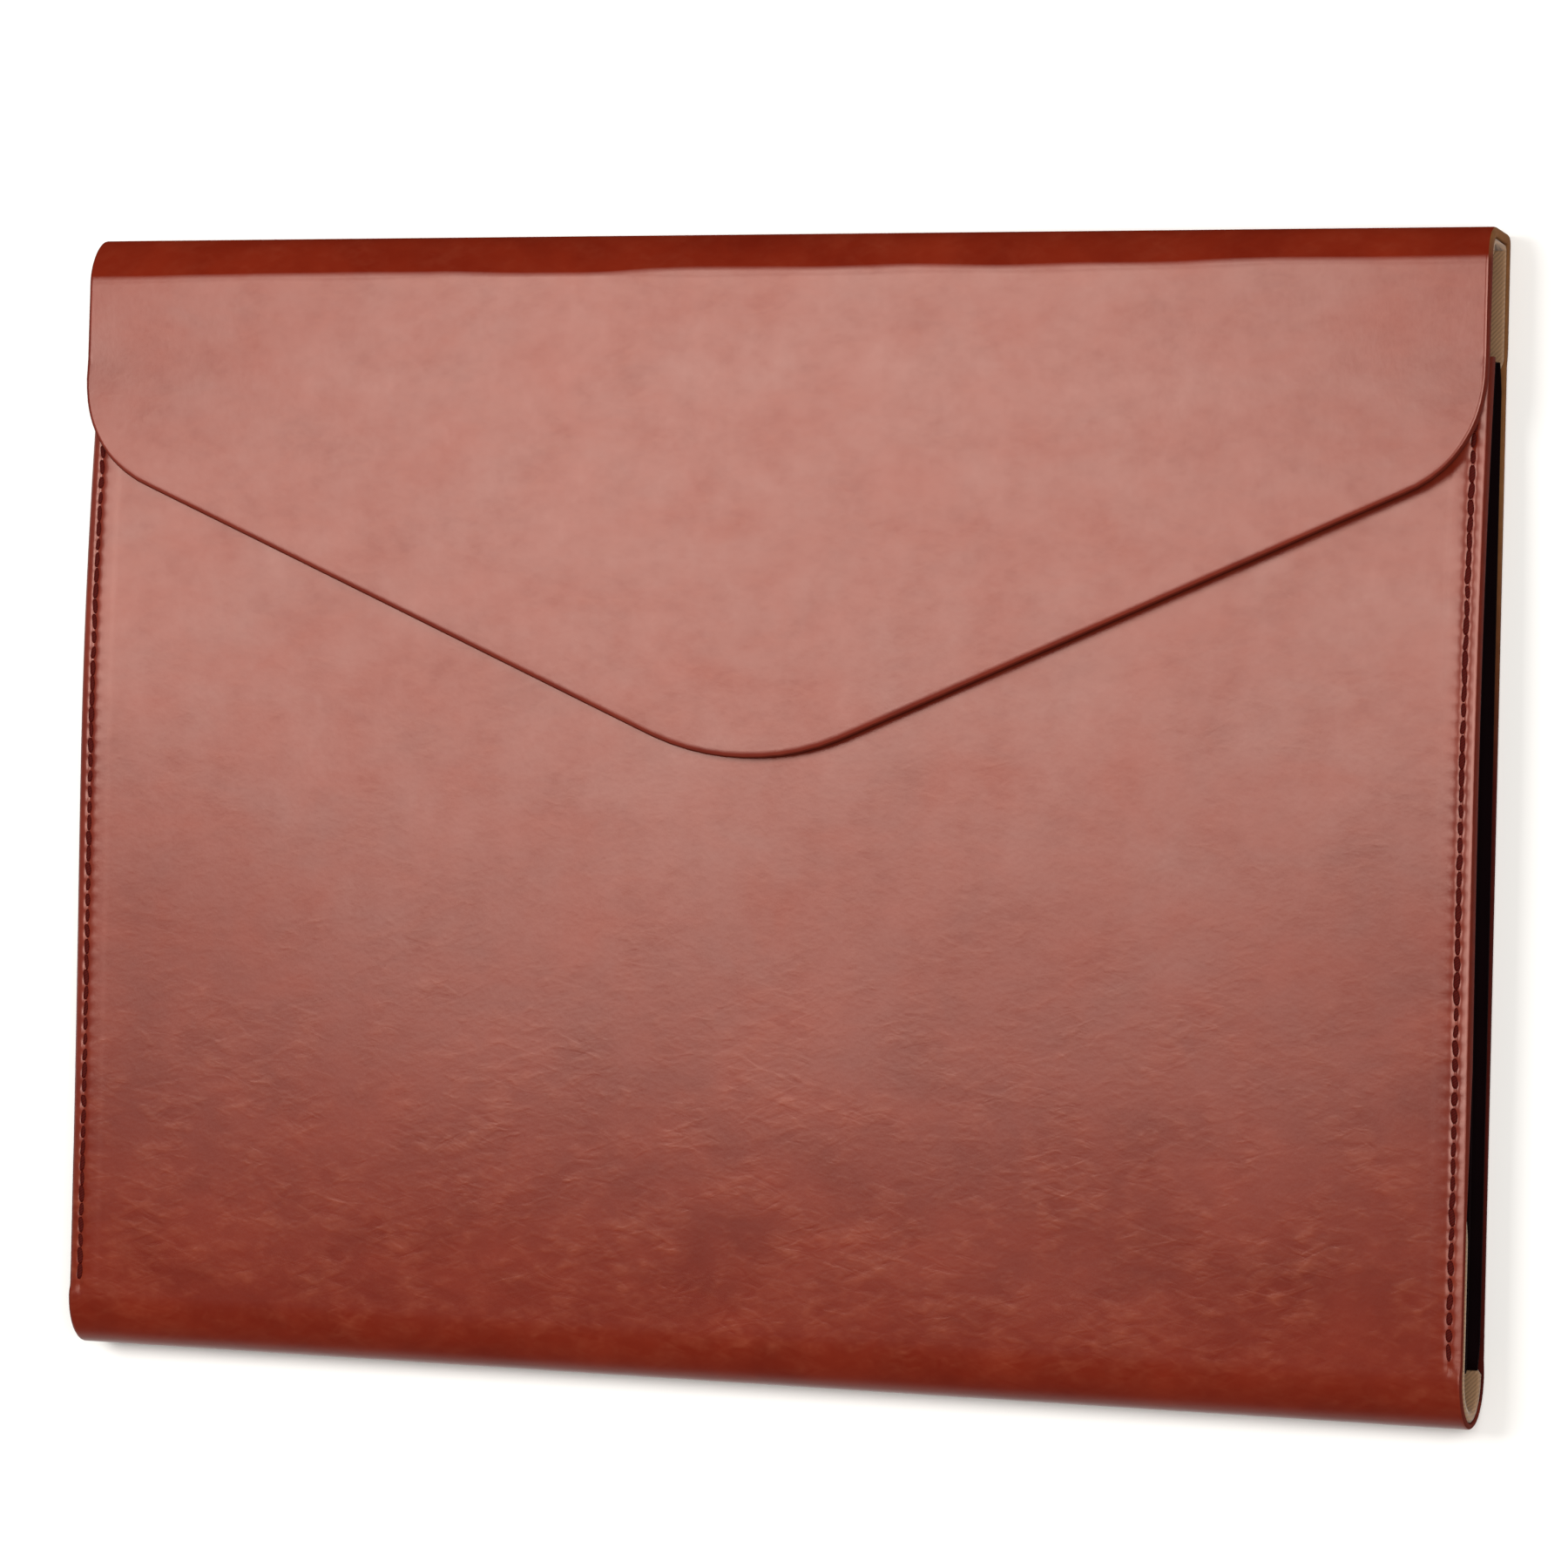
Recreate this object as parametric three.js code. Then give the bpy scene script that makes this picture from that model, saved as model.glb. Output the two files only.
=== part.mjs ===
// Document envelope bag: a lined leather sheet folded into a flat pocket with an envelope flap, closed at
// the sides by pleated gussets. Millimetres. The bag lies on its back: X runs across it, +Y points to the
// fold that the flap hangs from, +Z out of the front. The origin is the middle of the back's outer face.

import * as THREE from 'three';

// Outside of the closed bag
const BAG_WIDTH = 330;
const BAG_HEIGHT = 250;
const BODY_DEPTH = 16.4; // back to front panel, just above the bottom fold
const MOUTH_DEPTH = 12.3; // back to front panel, at the panel's free top edge
const MOUTH_DROP = 27; // from the top of the bag down to that edge

// The gussets hold the front panel's side edges up, so that the panel is dished between them
const SIDE_SWELL = 3.2; // most that a side edge stands above the panel's middle
const SWELL_RISE = 1.6; // above 1, the swell peaks nearer to the mouth than to the bottom
const SWELL_SPREAD = 4; // the higher, the closer to the side edges the swell stays

// Roundings of the folds
const BOTTOM_ROUND = 11; // height of the half ellipse that turns front into back
const BACK_FOLD_RADIUS = 4;
const FLAP_FOLD_RADIUS = 7.8;

// Outline of the flap, laid flat
const FLAP_LENGTH = 114; // from the top of the bag down to the tip
const FLAP_SLANT = THREE.MathUtils.degToRad(23.1); // slanted edges against the fold
const FLAP_CORNER_RADIUS = 31;
const FLAP_TIP_RADIUS = 59;
const FLAP_TIP_CHORD = THREE.MathUtils.degToRad(3); // half angle of the short chord that ends the tip

// Sheets, and the clearances that keep bonded, sewn or resting layers apart
const LEATHER_WALL = 2.2;
const LINING_WALL = 1.1;
const GUSSET_WALL = 1;
const LAYER_GAP = 0.3;
const FLAP_REST = 0.4; // flap's lining above the front panel
const LINING_INSET = 0.6; // the lining stops this far short of the leather's cut edges

// Gussets: a flange sewn along each panel and one pleat folded inwards between them
const GUSSET_INSET = 0.6; // flange edge behind the panel's side edge
const GUSSET_FLANGE = 6.5;
const GUSSET_PLEAT = 8; // from the flanges' inner ends to the fold of the pleat
const GUSSET_FOOT = 13.8; // foot of the gusset above the bottom of the bag
const GUSSET_HEAD_DROP = 1; // head of the gusset below the front panel's top edge

// Fineness of the curved surfaces
const ARC_STEPS = 5; // half the chords of each rounding
const PANEL_ROWS = 9; // steps down the front panel and the gussets
const SLANT_STEP = 25; // longest step along the flap's slanted edges
const HALF_COLUMNS = 5; // steps from the middle of a sheet to its side edge

const HALF_WIDTH = BAG_WIDTH / 2;
const TOP = BAG_HEIGHT / 2;
const BOTTOM = -BAG_HEIGHT / 2;
const MOUTH = TOP - MOUTH_DROP;
const BOTTOM_FOLD = BOTTOM + BOTTOM_ROUND;
const BACK_FOLD = TOP - BACK_FOLD_RADIUS;
const FLAP_FOLD = TOP - FLAP_FOLD_RADIUS;
const FLAP_TIP = TOP - FLAP_LENGTH;
const LINED_WALL = LEATHER_WALL + LAYER_GAP + LINING_WALL;

// Depth of the front panel's outer face: it draws in towards the mouth and swells at the side edges
function panelDepth(x, y) {
  const taper = THREE.MathUtils.mapLinear(y, BOTTOM_FOLD, MOUTH, BODY_DEPTH, MOUTH_DEPTH);
  const climb = THREE.MathUtils.clamp((y - BOTTOM_FOLD) / (MOUTH - BOTTOM_FOLD), 0, 1);
  const swell = SIDE_SWELL * Math.sin(Math.PI * climb ** SWELL_RISE);
  return taper + swell * (Math.abs(x) / HALF_WIDTH) ** SWELL_SPREAD;
}

// Depth of the flap's outer face, which lies on the front panel
function flapDepth(x, y) {
  return panelDepth(x, y) + FLAP_REST + LINED_WALL;
}

// Side profile of the folds in (y, z), from the front panel's foot round the bottom, the back and the top to
// the flap. It lies a given distance under the bag's outer skin.
function foldProfile(under) {
  const bottomRise = BOTTOM_ROUND - under;
  const bottomHalfDepth = BODY_DEPTH / 2 - under;
  const flapFoldCentre = flapDepth(0, FLAP_FOLD) - FLAP_FOLD_RADIUS;
  const path = new THREE.Path();
  path.absellipse(BOTTOM_FOLD, BODY_DEPTH / 2, bottomRise, bottomHalfDepth, Math.PI / 2, 1.5 * Math.PI);
  path.absarc(BACK_FOLD, BACK_FOLD_RADIUS, BACK_FOLD_RADIUS - under, 1.5 * Math.PI, 2 * Math.PI);
  path.absarc(FLAP_FOLD, flapFoldCentre, FLAP_FOLD_RADIUS - under, 0, Math.PI / 2);
  return path.getPoints(ARC_STEPS);
}

// Right half of the flap's outline in (x, y), from the top of the corner to the tip. The two arcs share the
// slanted edge as a tangent, and inset draws the whole edge in.
function flapOutline(inset) {
  const tipY = FLAP_TIP + FLAP_TIP_RADIUS;
  const cornerX = HALF_WIDTH - FLAP_CORNER_RADIUS;
  const radiusStep = FLAP_TIP_RADIUS - FLAP_CORNER_RADIUS;
  const along = (cornerX - radiusStep * Math.sin(FLAP_SLANT)) / Math.cos(FLAP_SLANT);
  const cornerY = tipY + along * Math.sin(FLAP_SLANT) - radiusStep * Math.cos(FLAP_SLANT);
  const tangent = FLAP_SLANT - Math.PI / 2;
  const tipEnd = FLAP_TIP_CHORD - Math.PI / 2;
  const path = new THREE.Path();
  path.absarc(cornerX, cornerY, FLAP_CORNER_RADIUS - inset, 0, tangent, true);
  path.absarc(0, tipY, FLAP_TIP_RADIUS - inset, tangent, tipEnd, true);
  return refine(path.getPoints(ARC_STEPS), SLANT_STEP);
}

// The same outline with its long segments cut into even steps
function refine(points, longest) {
  const refined = [points[0]];
  for (let k = 1; k < points.length; k += 1) {
    const steps = Math.ceil(points[k].distanceTo(points[k - 1]) / longest);
    for (let step = 1; step <= steps; step += 1) {
      refined.push(points[k - 1].clone().lerp(points[k], step / steps));
    }
  }
  return refined;
}

// Heights at even steps from one end of a panel to the other
function levels(start, end) {
  return Array.from({ length: PANEL_ROWS + 1 }, (_, k) => THREE.MathUtils.lerp(start, end, k / PANEL_ROWS));
}

// Points across a sheet from its left edge to its right one, closer together towards the edges
function acrossSheet(half, place) {
  return Array.from({ length: 2 * HALF_COLUMNS + 1 }, (_, k) => (
    place(half * Math.sin((Math.PI / 2) * (k / HALF_COLUMNS - 1)))
  ));
}

// Rows of points over the folded sheet, a given distance under the bag's outer skin: down the front panel,
// along the fold profile and down the flap, whose outline narrows the rows
function foldedRows(under, inset) {
  const half = HALF_WIDTH - inset;
  const front = levels(MOUTH - inset, BOTTOM_FOLD).slice(0, -1).map((y) => (
    acrossSheet(half, (x) => new THREE.Vector3(x, y, panelDepth(x, y) - under))
  ));
  const folds = foldProfile(under).map(({ x: y, y: z }) => (
    acrossSheet(half, (x) => new THREE.Vector3(x, y, z))
  ));
  const flap = flapOutline(inset).map(({ x: edge, y }) => (
    acrossSheet(edge, (x) => new THREE.Vector3(x, y, flapDepth(x, y) - under))
  ));
  return [...front, ...folds, ...flap];
}

// Closed solid through rings of equal length. A ring runs along one skin of a sheet and back along the
// other, clockwise when seen from the next ring, and strips between the two skins cap the ends.
function loft(rings) {
  const count = rings[0].length;
  const last = (rings.length - 1) * count;
  const index = [];
  for (let ring = 0; ring < last; ring += count) {
    for (let k = 0; k < count; k += 1) {
      const a = ring + k;
      const b = ring + ((k + 1) % count);
      index.push(a, a + count, b + count, a, b + count, b);
    }
  }
  for (let k = 0; k < count / 2 - 1; k += 1) {
    const across = count - 1 - k;
    index.push(k, k + 1, across - 1, k, across - 1, across);
    index.push(last + k, last + across - 1, last + k + 1, last + k, last + across, last + across - 1);
  }
  const geometry = new THREE.BufferGeometry().setFromPoints(rings.flat());
  geometry.setIndex(index);
  geometry.computeVertexNormals();
  return geometry;
}

// A sheet of the wrap: its outer skin lies a given distance under the bag's
function foldedSheet(under, wall, inset) {
  const underside = foldedRows(under + wall, inset);
  return loft(foldedRows(under, inset).map((row, k) => [...row, ...underside[k].reverse()]));
}

// Section of the right gusset in (x, z) at a height of the bag: flange, pleat and flange, then back again
// along the side that faces out
function gussetSection(y) {
  const edge = HALF_WIDTH - GUSSET_INSET;
  const knee = edge - GUSSET_FLANGE;
  const fold = knee - GUSSET_PLEAT;
  const back = LINED_WALL + LAYER_GAP;
  const frontEdge = panelDepth(edge, y) - back;
  const frontKnee = panelDepth(knee, y) - back;
  const middle = (back + frontKnee) / 2;
  const slope = Math.atan2(middle - back, GUSSET_PLEAT);
  const outerKnee = knee + GUSSET_WALL * Math.tan(slope / 2);
  const outerFold = fold + GUSSET_WALL / Math.sin(slope);
  return [
    [edge, back],
    [knee, back],
    [fold, middle],
    [knee, frontKnee],
    [edge, frontEdge],
    [edge, frontEdge - GUSSET_WALL],
    [outerKnee, frontKnee - GUSSET_WALL],
    [outerFold, middle],
    [outerKnee, back + GUSSET_WALL],
    [edge, back + GUSSET_WALL],
  ];
}

// The gusset of one side: 1 is the right one, -1 its mirror image
function gusset(side) {
  const ends = [MOUTH - GUSSET_HEAD_DROP, BOTTOM + GUSSET_FOOT];
  const heights = side > 0 ? levels(...ends) : levels(...ends).reverse();
  return loft(heights.map((y) => gussetSection(y).map(([x, z]) => new THREE.Vector3(side * x, y, z))));
}

// Names, shapes and looks of the sub-parts
const PIECES = [
  { name: 'leather_wrap', geometry: foldedSheet(0, LEATHER_WALL, 0), color: '#8a3a2a', roughness: 0.4 },
  {
    name: 'lining',
    geometry: foldedSheet(LEATHER_WALL + LAYER_GAP, LINING_WALL, LINING_INSET),
    color: '#7d5a3e',
    roughness: 0.9,
  },
  { name: 'gusset_left', geometry: gusset(-1), color: '#140c0c', roughness: 0.6 },
  { name: 'gusset_right', geometry: gusset(1), color: '#140c0c', roughness: 0.6 },
];

const bag = new THREE.Group();
for (const { name, geometry, color, roughness } of PIECES) {
  const material = new THREE.MeshStandardMaterial({ color, roughness, metalness: 0 });
  const piece = new THREE.Mesh(geometry, material);
  piece.name = name;
  bag.add(piece);
}

export default bag;
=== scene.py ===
"""Document envelope bag: its leather, lining, gussets and seams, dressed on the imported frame.

Lengths are in metres, and +Z is up.
"""

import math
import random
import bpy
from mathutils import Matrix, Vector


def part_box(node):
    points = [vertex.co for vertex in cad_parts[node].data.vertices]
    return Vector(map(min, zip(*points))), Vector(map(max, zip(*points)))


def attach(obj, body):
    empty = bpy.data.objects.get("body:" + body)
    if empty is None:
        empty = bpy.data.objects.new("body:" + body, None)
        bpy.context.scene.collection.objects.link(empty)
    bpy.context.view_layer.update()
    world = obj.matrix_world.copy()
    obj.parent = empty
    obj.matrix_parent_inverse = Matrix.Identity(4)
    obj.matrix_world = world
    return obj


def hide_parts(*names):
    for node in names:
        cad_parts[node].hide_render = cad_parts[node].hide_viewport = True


bl_info = {
    "name": "Document envelope bag",
    "version": (1, 0, 0),
    "blender": (4, 5, 0),
    "location": "3D View > Sidebar > Envelope Bag",
    "description": "Builds a lined leather document bag with an envelope flap, and a plain studio round it",
    "category": "Add Mesh",
}

import bpy
import numpy as np
from bpy.props import FloatProperty, FloatVectorProperty, PointerProperty
from mathutils import Matrix, Vector

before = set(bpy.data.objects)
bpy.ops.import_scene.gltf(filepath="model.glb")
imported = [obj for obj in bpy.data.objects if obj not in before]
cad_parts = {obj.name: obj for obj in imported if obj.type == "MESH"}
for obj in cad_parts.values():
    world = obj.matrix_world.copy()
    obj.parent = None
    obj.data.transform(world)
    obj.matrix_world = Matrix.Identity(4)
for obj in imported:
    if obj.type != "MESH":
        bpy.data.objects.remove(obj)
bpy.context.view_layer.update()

MM = 0.001
WRAP_LOW, WRAP_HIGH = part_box("leather_wrap")
SEED = 7

# Relief of the leather along its sewn sides, measured in from the cut edge
GROOVE_HALF_WIDTH = 0.6 * MM
GROOVE_DEPTH = 0.3 * MM
PULL_REACH = 1.5 * MM
PULL_DEPTH = 0.3 * MM
ROLLED_EDGE = 2.2 * MM
ROLLED_DROP = 0.85 * MM
ROLLED_CURVE = 1.1
HEM_START = 6.7 * MM
HEM_END = 7.9 * MM
HEM_HEIGHT = 0.08 * MM
SEAM_FADE = 2.5 * MM

# The top fold leans back from its highest line. The crease that the flap hangs from is lower at the bag's
# left end, and has a fine bead. The flap is cut a little wider than the body, and its edge is bevelled.
TOP_LEAN = math.radians(-6)
CREASE_TILT = 1.9 * MM
SWAY_FADE = 25 * MM
BEAD_DROP = 1 * MM
BEAD_HALF_WIDTH = 0.8 * MM
BEAD_HEIGHT = 0.06 * MM
FLAP_SPREAD = 0.5 * MM
SPREAD_REACH = 12 * MM
BEVEL_WIDTH = 1.5 * MM
BEVEL_DROP = 0.24 * MM
BEVEL_CURVE = 1.5
# How far the flap's edge faces down where its bevel starts, and where it is full
BEVEL_START = 0.6
BEVEL_FULL = 0.9

# Thickness of the leather's rim: the turned-under edge ends and the pared one starts at these shares of the
# front panel, and the rim is as thick as the rest of the sheet from RIM_WIDTH on
TURN_END = 0.7
PARE_START = 0.86
RIM_FLAT = 3 * MM
RIM_WIDTH = 4 * MM

# Long waves of the hand-pressed panels: length across the bag, length along it, phase and height
PANEL_WAVES = (
    (0.31, 0.42, 0.4, 0.16 * MM),
    (-0.17, 0.23, 1.9, 0.1 * MM),
    (0.093, -0.12, 3.1, 0.05 * MM),
    (-0.064, -0.071, 5.0, 0.025 * MM),
)
WAVE_FADE = 24 * MM
# Sway of the crease: length across the bag, phase and height
CREASE_WAVES = ((0.23, 0.7, 0.35 * MM), (0.087, 2.2, 0.22 * MM), (0.041, 4.4, 0.1 * MM))

# Fineness of the meshes
ARC_ROWS = 20
ROWS_PER_STITCH = 4
BACK_ROWS_PER_STITCH = 2
FLAP_ROWS = 30
CREASE_ROWS = (0.3 * MM, 0.6 * MM, 1.0 * MM, 1.5 * MM, 2.2 * MM, 3.2 * MM, 4.5 * MM)
LEATHER_ROUND = 0.8 * MM
UNDER_ROUND = 0.3 * MM
RIM_ROWS = (0.9 * MM, 0.6 * MM, 0.3 * MM)
EDGE_ANGLES = (30, 60, 90)
LEAST_RADIUS = 0.3 * MM
AREA_SAMPLES = 400

# Camera, from the photograph's perspective: where it looks, from how far, and how it is turned
CAMERA_AIM = Vector((0.0092, 0.0057, 0.0164))
CAMERA_DISTANCE = 1.457
CAMERA_AZIMUTH = math.radians(23.73)
CAMERA_PITCH = math.radians(0.32)
CAMERA_ROLL = math.radians(1.31)
CAMERA_SENSOR = 36.0
CAMERA_LENS = 154.9


def linear(hex_code):
    """An sRGB hex colour as linear RGBA."""
    channels = [int(hex_code[k:k + 2], 16) / 255 for k in (1, 3, 5)]
    return (*[c / 12.92 if c <= 0.04045 else ((c + 0.055) / 1.055) ** 2.4 for c in channels], 1.0)


def length(name, description, default):
    """A size of the bag, in metres."""
    return FloatProperty(
        name=name, description=description, default=default, min=0, unit="LENGTH", precision=5)


def angle(name, description, degrees):
    """An angle of the bag, shown in degrees."""
    return FloatProperty(name=name, description=description, default=math.radians(degrees), subtype="ANGLE")


def colour(name, description, hex_code):
    """A colour of the bag or the studio."""
    return FloatVectorProperty(
        name=name, description=description, default=linear(hex_code), size=4, min=0, max=1, subtype="COLOR")


class EnvelopeBagSizes(bpy.types.PropertyGroup):
    """Sizes of the closed bag and of its sheets"""
    width: length("Width", "Width of the bag", WRAP_HIGH[0] - WRAP_LOW[0])
    height: length("Height", "From the bottom fold to the top fold", WRAP_HIGH[1] - WRAP_LOW[1])
    body_depth: length("Body depth", "Back to front panel, above the bottom fold", 16.4 * MM)
    mouth_depth: length("Mouth depth", "Back to front panel, at the panel's top edge", 12.3 * MM)
    mouth_drop: length("Mouth drop", "From the top of the bag to the panel's top edge", 27 * MM)
    side_swell: length("Side swell", "How far the gussets hold up the panel's sides", 3.2 * MM)
    bottom_round: length("Bottom round", "Height of the half ellipse at the bottom", 11 * MM)
    back_fold: length("Back fold", "Radius between the back and the top", 2 * MM)
    back_drop: length("Back drop", "Top of the back below the top of the bag", 0.9 * MM)
    crease_drop: length("Crease drop", "From the top of the bag to the flap's crease", 7.6 * MM)
    roll_depth: length("Roll depth", "From the flap's face back to the top of the bag", 6.4 * MM)
    flap_length: length("Flap length", "From the top of the bag to the flap's tip", 114 * MM)
    flap_slant: angle("Flap slant", "Angle of the slanted edges to the fold", 23.1)
    flap_corner: length("Flap corner", "Radius of the flap's corners", 26 * MM)
    flap_tip: length("Flap tip", "Radius of the flap's tip", 59 * MM)
    leather_wall: length("Leather", "Thickness of the leather with its stiffener", 2.2 * MM)
    turned_wall: length("Turned edge", "Leather turned under along the front's sides", 3.4 * MM)
    pared_wall: length("Pared edge", "Leather at the ends of the bottom fold", 1.2 * MM)
    lining_wall: length("Lining", "Thickness of the lining", 1.1 * MM)
    gusset_wall: length("Gusset cloth", "Thickness of the gusset cloth", 1 * MM)
    layer_gap: length("Layer gap", "Clearance between two layers", 0.3 * MM)
    flap_rest: length("Flap rest", "Flap's lining above the front panel", 0.4 * MM)
    gusset_flange: length("Gusset flange", "Width sewn to each panel", 6.5 * MM)
    gusset_pleat: length("Gusset pleat", "Depth of the pleat", 8 * MM)
    gusset_foot: length("Gusset foot", "Foot of the gusset above the bottom", 12.2 * MM)
    gusset_head: length("Gusset head", "Head of the gusset below the panel's top edge", 1 * MM)
    seam_foot: length("Seam foot", "End of the seam above the bottom", 13.8 * MM)
    stitch_pitch: length("Stitch pitch", "From one stitch to the next", 3.5 * MM)
    stitch_inset: length("Stitch inset", "Seam behind the cut edge", 2.8 * MM)
    stitch_length: length("Stitch length", "Length of a stitch with its ends", 3.2 * MM)
    thread_width: length("Thread", "Width of a pressed stitch", 1.45 * MM)


class EnvelopeBagColours(bpy.types.PropertyGroup):
    """Colours of the bag and of the studio"""
    leather_deep: colour("Leather, deep", "Where the dye has pooled", "#5C160A")
    leather_light: colour("Leather, light", "Where the dye has pulled up", "#6C1F0F")
    # The crease colour is partly the leather's own paling and partly a painted highlight of light glinting
    # on creases
    crease_paling_and_glint: colour("Leather, creases", "Fine creases that have paled", "#B3694C")
    glaze: colour("Glaze", "Tint of the leather's shine", "#FFD5C8")
    edge_paint: colour("Edge paint", "Painted cut edges of the leather", "#521A10")
    # Darker colour for the back's cut edges, which lie next to the floor
    darker_back_edge: colour("Back edge paint", "Painted cut edges of the back", "#3A0C06")
    bare_edge: colour("Bare edge", "Cut edges that have lost their paint", "#674224")
    lining: colour("Lining", "Lining cloth", "#866547")
    gusset: colour("Gusset", "Coated gusset cloth", "#070102")
    thread: colour("Thread", "Sewing thread", "#430A05")
    floor: colour("Floor", "Studio floor", "#F6F5F3")
    light: colour("Light", "Studio light", "#FFFDFA")


def sizes():
    return bpy.context.scene.envelope_bag_sizes


def colours():
    return bpy.context.scene.envelope_bag_colours


# Shape of the folded sheet


def ramp(value, start, end):
    """0 before start and 1 after end, with a smooth step between them."""
    share = np.clip((value - start) / (end - start), 0, 1)
    return share * share * (3 - 2 * share)


def bell(value, centre, half_width):
    """1 at the centre, falling away smoothly on both sides."""
    return np.exp(-(((value - centre) / half_width) ** 2))


def arc(centre, radii, start, end):
    """Points of an ellipse's arc in (y, z), the angles in radians from +Y towards +Z."""
    angles = np.linspace(start, end, ARC_ROWS + 1)
    return np.stack((centre[0] + radii[0] * np.cos(angles), centre[1] + radii[1] * np.sin(angles)), axis=-1)


class FoldedSheet:
    """Where each point of the cut sheet lies on the folded bag.

    A point of the sheet has x, its place across the bag, and run, its distance from the front panel's top
    edge: down the front, round the bottom, up the back, over the top and down the flap.
    """

    SWELL_RISE = 1.6
    SWELL_SPREAD = 4

    def __init__(self, bag):
        self.bag = bag
        self.half = bag.width / 2
        self.top = bag.height / 2
        self.mouth = self.top - bag.mouth_drop
        self.bottom_fold = bag.bottom_round - self.top
        self.crease = self.top - bag.crease_drop
        self.lined_wall = bag.leather_wall + bag.layer_gap + bag.lining_wall
        self.panel_run = self.mouth - self.bottom_fold
        steps = np.linalg.norm(np.diff(self.fold_profile(0), axis=0), axis=1)
        self.fold_runs = self.panel_run + np.concatenate(([0], np.cumsum(steps)))
        self.back_run = self.fold_runs[ARC_ROWS]
        self.flap_run = self.fold_runs[-1]

    def panel_depth(self, x, y):
        """The front panel's outer face draws in towards the mouth and swells at the side edges."""
        climb = (y - self.bottom_fold) / (self.mouth - self.bottom_fold)
        taper = self.bag.body_depth + (self.bag.mouth_depth - self.bag.body_depth) * climb
        swell = self.bag.side_swell * np.sin(np.pi * np.clip(climb, 0, 1) ** self.SWELL_RISE)
        return taper + swell * (np.abs(x) / self.half) ** self.SWELL_SPREAD

    def flap_depth(self, x, y):
        """The flap's outer face lies on the front panel."""
        return self.panel_depth(x, y) + self.bag.flap_rest + self.lined_wall

    def fold_profile(self, under):
        """Side profile in (y, z) from the front panel's foot to the flap's crease, under the outer skin."""
        bag = self.bag
        quarter = math.pi / 2
        bottom = (self.bottom_fold, bag.body_depth / 2)
        bottom_radii = (bag.bottom_round - under, bag.body_depth / 2 - under)
        back_radius = max(bag.back_fold - under, LEAST_RADIUS)
        back = (self.top - bag.back_drop - under - back_radius, under + back_radius)
        roll = (self.crease, self.flap_depth(0, self.crease) - bag.roll_depth)
        roll_radii = (bag.crease_drop - under, bag.roll_depth - under)
        return np.concatenate((
            arc(bottom, bottom_radii, quarter, 3 * quarter),
            arc(back, (back_radius, back_radius), -quarter, TOP_LEAN),
            arc(roll, roll_radii, TOP_LEAN, quarter),
        ))

    def crease_sway(self, x, run):
        """How far the crease hangs down at its left end and wanders, fading out away from it."""
        tilt = CREASE_TILT * (0.5 - 0.5 * x / self.half)
        waves = sum(height * np.sin(2 * np.pi * x / span + phase) for span, phase, height in CREASE_WAVES)
        above = ramp(run, self.fold_runs[-ARC_ROWS], self.flap_run)
        below = 1 - ramp(run, self.flap_run, self.flap_run + SWAY_FADE)
        return (tilt + waves) * above * below

    def skin(self, x, run, under=0.0):
        """Points on the folded sheet, a given distance under the bag's outer skin."""
        folds = self.fold_profile(under)
        front_y = self.mouth - run
        flap_y = self.crease + self.flap_run - run
        places = [run < self.panel_run, run > self.flap_run]
        y = np.select(places, [front_y, flap_y], np.interp(run, self.fold_runs, folds[:, 0]))
        panel = self.panel_depth(x, front_y) - under
        flap = self.flap_depth(x, flap_y) - under
        z = np.select(places, [panel, flap], np.interp(run, self.fold_runs, folds[:, 1]))
        spread = FLAP_SPREAD * ramp(run, self.flap_run - SPREAD_REACH, self.flap_run)
        return np.stack((x * (1 + spread / self.half), y - self.crease_sway(x, run), z), axis=-1)

    def layer(self, x, run, under):
        """Points between the outer skin and the lining's face, where the distance under the skin varies."""
        share = (under / self.lined_wall)[..., None]
        return self.skin(x, run) * (1 - share) + self.skin(x, run, self.lined_wall) * share

    def leather_wall(self, x, run):
        """Thickness of the leather, whose rim is turned under on the front and pared at the bottom fold."""
        bag = self.bag
        places = (
            (TURN_END * self.panel_run, bag.turned_wall),
            (PARE_START * self.panel_run, bag.pared_wall),
            (self.back_run, bag.pared_wall),
            (self.back_run + (1 - PARE_START) * self.panel_run, bag.leather_wall),
        )
        rim = np.interp(run, *zip(*places))
        inside = ramp(self.half - np.abs(x), RIM_FLAT, RIM_WIDTH)
        return rim + (bag.leather_wall - rim) * inside

    def normal(self, x, run):
        """Outward direction of the sheet."""
        step = 0.2 * MM
        across = self.skin(x + step, run) - self.skin(x - step, run)
        along = self.skin(x, run + step) - self.skin(x, run - step)
        out = np.cross(along, across)
        return out / np.linalg.norm(out, axis=-1, keepdims=True)

    def gusset_ends(self):
        """Heights of the gussets' foot and head on the bag."""
        return self.bag.gusset_foot - self.top, self.mouth - self.bag.gusset_head

    def seam_ends(self):
        """First and last run of the sewn sides, on the front and on the back."""
        foot = self.bag.seam_foot - self.top
        head = self.gusset_ends()[1]
        back = self.back_run - self.bottom_fold
        return (self.mouth - head, self.mouth - foot), (back + foot, back + head)

    def stitch_runs(self, start, end):
        """Runs of a seam's stitches, at whole pitches of the sheet."""
        pitch = self.bag.stitch_pitch
        return pitch * np.arange(math.ceil(start / pitch), math.floor(end / pitch) + 1)

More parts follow.
